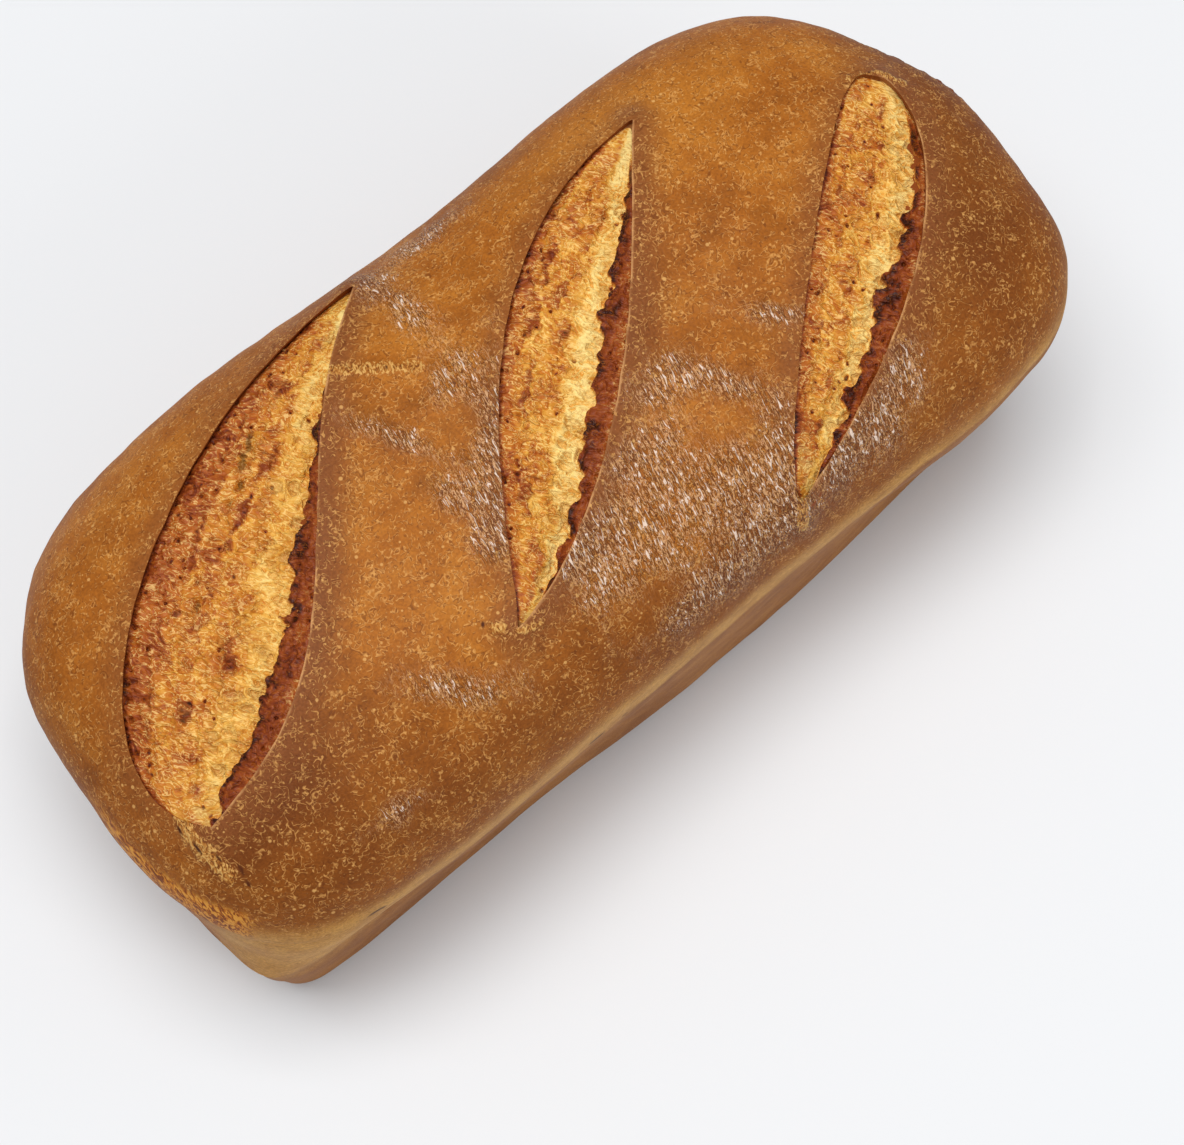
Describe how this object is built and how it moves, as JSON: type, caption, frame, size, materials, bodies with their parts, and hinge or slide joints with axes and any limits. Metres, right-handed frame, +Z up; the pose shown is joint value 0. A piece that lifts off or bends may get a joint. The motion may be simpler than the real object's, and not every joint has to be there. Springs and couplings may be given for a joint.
{
  "type": "whole wheat sourdough loaf",
  "caption": "Long loaf of bread with flat tin-baked sides, a risen crown that overhangs them as a soft lip, and slanting slashes opened across its top.",
  "frame": {"origin": "bottom centre of the bounding box, on the surface the loaf stands on", "axes": "+X along the loaf, +Y across it, +Z up; the tips of the slashes lie nearer +X on the +Y side"},
  "size_m": [0.2608, 0.1222, 0.112],
  "materials": {
    "crust": "baked crust, golden brown, satin with glossy wrinkled patches"
  },
  "bodies": {
    "root": {"loaf": "crust"}
  },
  "joints": []
}
